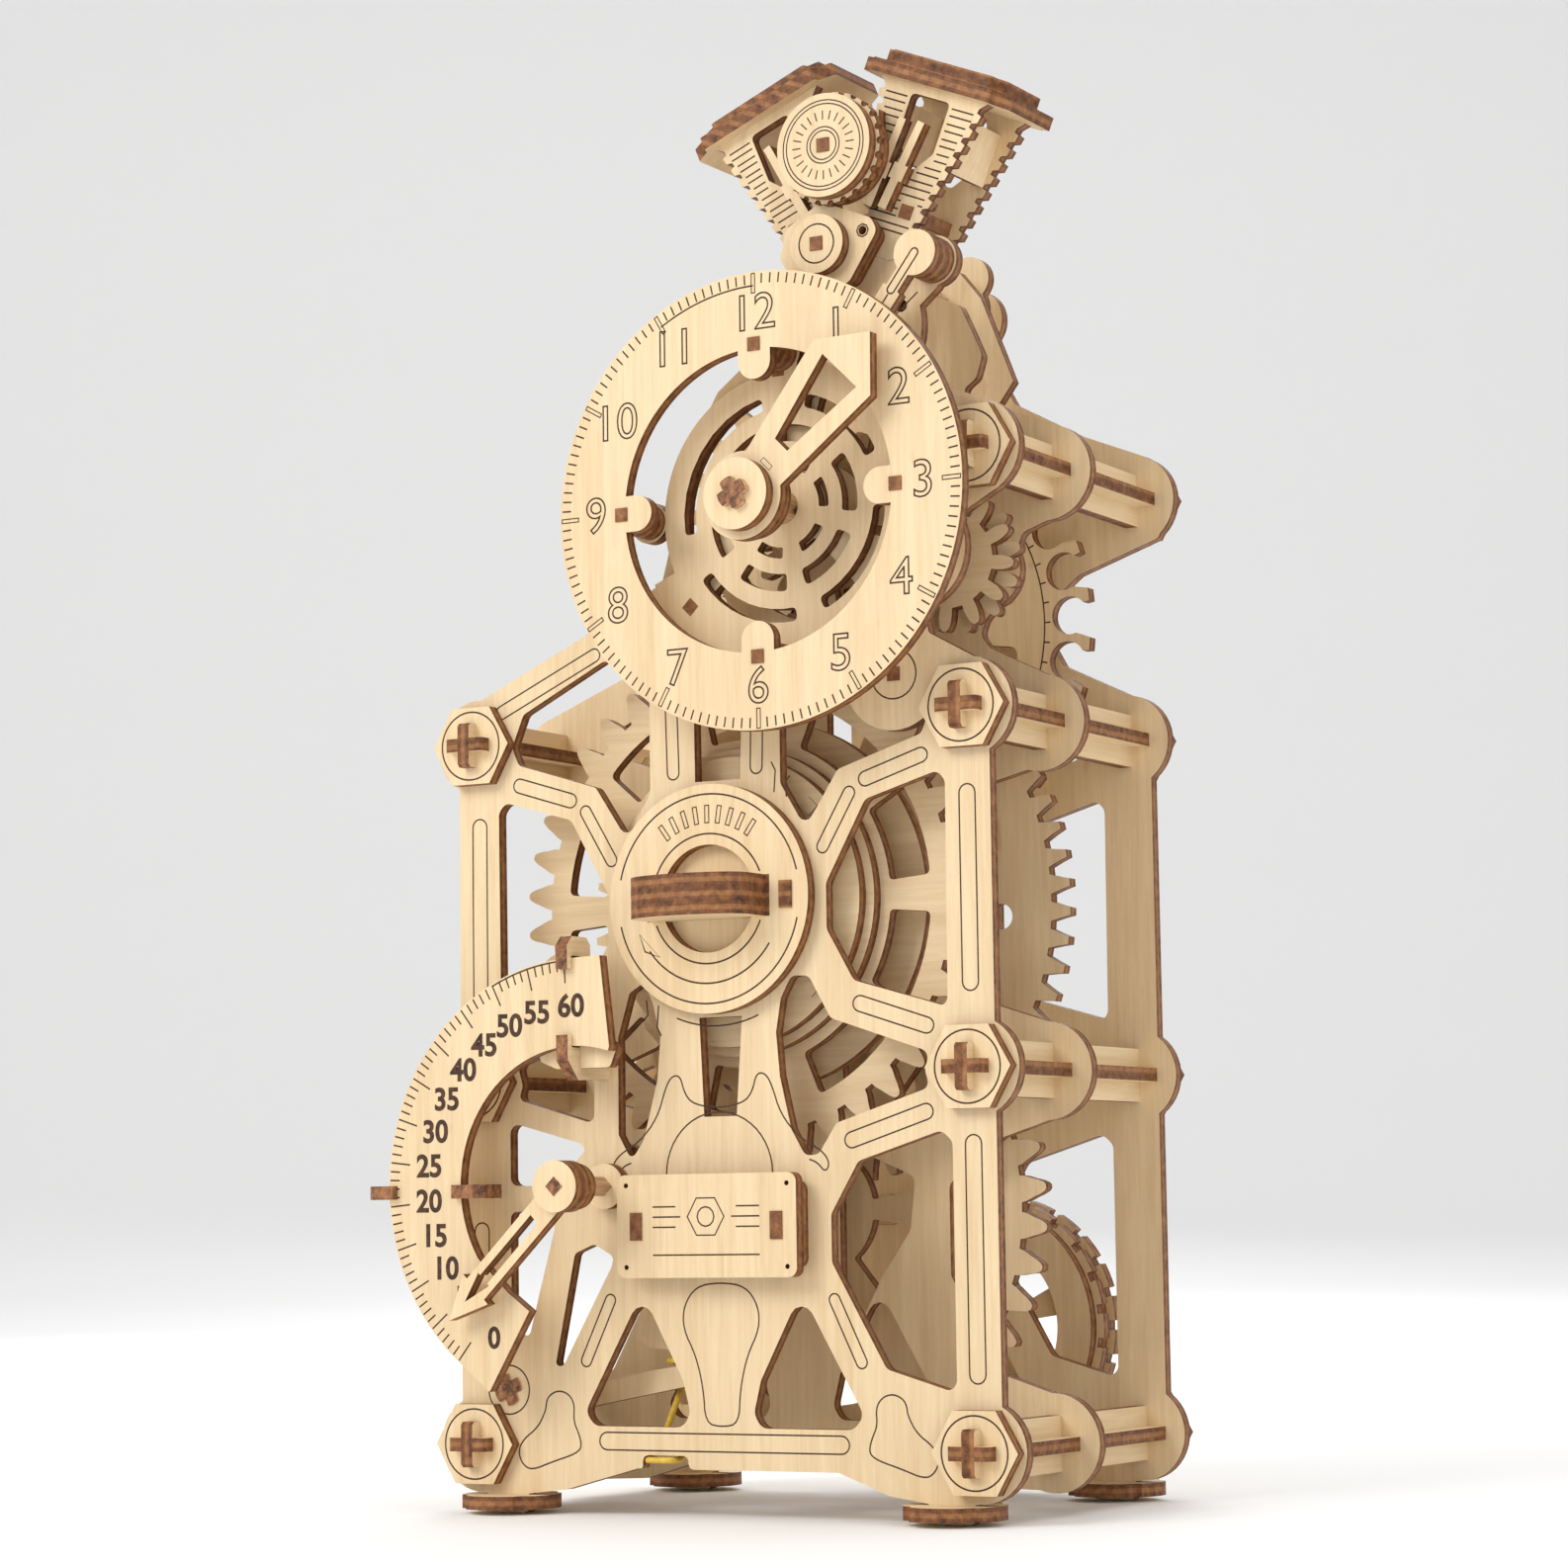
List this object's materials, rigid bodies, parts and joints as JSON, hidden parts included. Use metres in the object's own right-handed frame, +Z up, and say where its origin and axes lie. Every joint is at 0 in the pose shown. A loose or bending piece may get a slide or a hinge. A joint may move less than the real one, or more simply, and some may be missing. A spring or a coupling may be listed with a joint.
{
  "type": "wooden mechanical clock model",
  "caption": "Laser-cut plywood clock model with gear train, hour dial, timer scale, winding knob, pendulum and a V-twin engine on top.",
  "frame": {"origin": "centre of the footprint, at the undersides of the plate tenons", "axes": "+X to the right seen from the dial side, +Y from the dial to the pendulum, +Z up"},
  "size_m": [0.1578, 0.1226, 0.3178],
  "materials": {
    "birch": "bare laser-cut birch plywood, pale faces, dark brown cut edges, matt",
    "burnt_birch": "laser-browned cut edges of birch plywood, matt",
    "rubber_yellow": "soft natural rubber band, satin"
  },
  "bodies": {
    "frame": {"front_plate": "birch", "middle_plate": "birch", "rear_plate": "birch", "hex_nuts": "birch", "front_spacer_uprights": "burnt_birch", "front_spacer_flats": "birch", "rear_spacer_uprights": "burnt_birch", "rear_spacer_flats": "birch", "feet": "burnt_birch", "dial_ring": "birch", "dial_backing": "birch", "dial_spacers": "birch", "square_pegs": "burnt_birch", "name_plate": "birch", "name_plate_spacer": "birch", "timer_scale": "birch", "timer_scale_tab": "birch", "timer_clips": "burnt_birch", "corner_axle": "burnt_birch", "cam_cover": "birch", "cam_cap": "birch", "air_filter": "birch", "crankcase_plate": "birch", "cylinder_fronts": "birch", "cylinder_rears": "birch", "cylinder_braces": "burnt_birch", "head_lower_plies": "burnt_birch", "head_upper_plies": "burnt_birch", "pushrods": "birch", "shift_lever": "birch", "shift_hub": "birch"},
    "knob": {"winding_ring": "birch", "winding_grip": "burnt_birch", "winding_journal": "birch", "ratchet_wheel": "birch"},
    "great_train": {"great_wheel": "birch", "drum_rings": "birch", "main_arbor": "burnt_birch", "drum_pinion": "birch", "second_wheel": "birch"},
    "hour_train": {"hour_hand": "birch", "hour_hub_discs": "birch", "hour_arbor": "burnt_birch", "hour_wheel": "birch", "hour_pinions": "birch"},
    "idler": {"idler_gears": "birch", "idler_arbor": "burnt_birch"},
    "lower": {"lower_wheel": "birch", "lower_arbor": "burnt_birch"},
    "escape": {"escape_wheel": "birch", "escape_arbor": "burnt_birch"},
    "pendulum": {"anchor": "birch", "anchor_arbor": "burnt_birch", "pendulum_rod": "birch", "tyre_rings": "birch", "tyre_spokes": "birch"},
    "timer_hand_body": {"timer_hand": "birch", "timer_arbor": "burnt_birch"},
    "lever": {"stop_lever": "birch", "rubber_band": "rubber_yellow"}
  },
  "joints": [
    {"name": "great_spin", "type": "hinge", "parent": "frame", "child": "great_train", "pos_m": [0.00285, 0.01025, 0.1335], "axis": [0, -1, 0], "continuous": true},
    {"name": "hour_spin", "type": "hinge", "parent": "frame", "child": "hour_train", "pos_m": [0.02295, -0.01875, 0.2179], "axis": [0, -1, 0], "continuous": true},
    {"name": "idler_spin", "type": "hinge", "parent": "frame", "child": "idler", "pos_m": [0.05263, -0.00875, 0.20618], "axis": [0, -1, 0], "continuous": true},
    {"name": "lower_spin", "type": "hinge", "parent": "frame", "child": "lower", "pos_m": [0.00285, 0.02125, 0.06572], "axis": [0, -1, 0], "continuous": true},
    {"name": "escape_spin", "type": "hinge", "parent": "frame", "child": "escape", "pos_m": [0.00575, 0.03125, 0.19944], "axis": [0, -1, 0], "continuous": true},
    {"name": "knob_spin", "type": "hinge", "parent": "frame", "child": "knob", "pos_m": [0.00285, -0.03475, 0.1335], "axis": [0, -1, 0], "continuous": true},
    {"name": "pendulum_swing", "type": "hinge", "parent": "frame", "child": "pendulum", "pos_m": [0.02245, 0.03125, 0.277], "axis": [0, -1, 0], "range_deg": [-3.5, 3.5]},
    {"name": "timer_turn", "type": "hinge", "parent": "frame", "child": "timer_hand_body", "pos_m": [-0.02475, -0.02375, 0.0715], "axis": [0, -1, 0], "range_deg": [-131.4, 7]},
    {"name": "lever_lift", "type": "hinge", "parent": "frame", "child": "lever", "pos_m": [-0.05225, -0.02325, 0.0269], "axis": [0, -1, 0], "range_deg": [0, 4], "deforming": ["rubber_band"]}
  ],
  "couplings": [
    {"joint": "hour_spin", "follows": "great_spin", "ratio": -1.6667},
    {"joint": "idler_spin", "follows": "great_spin", "ratio": 2.3611},
    {"joint": "lower_spin", "follows": "great_spin", "ratio": -0.25},
    {"joint": "escape_spin", "follows": "great_spin", "ratio": -10}
  ]
}
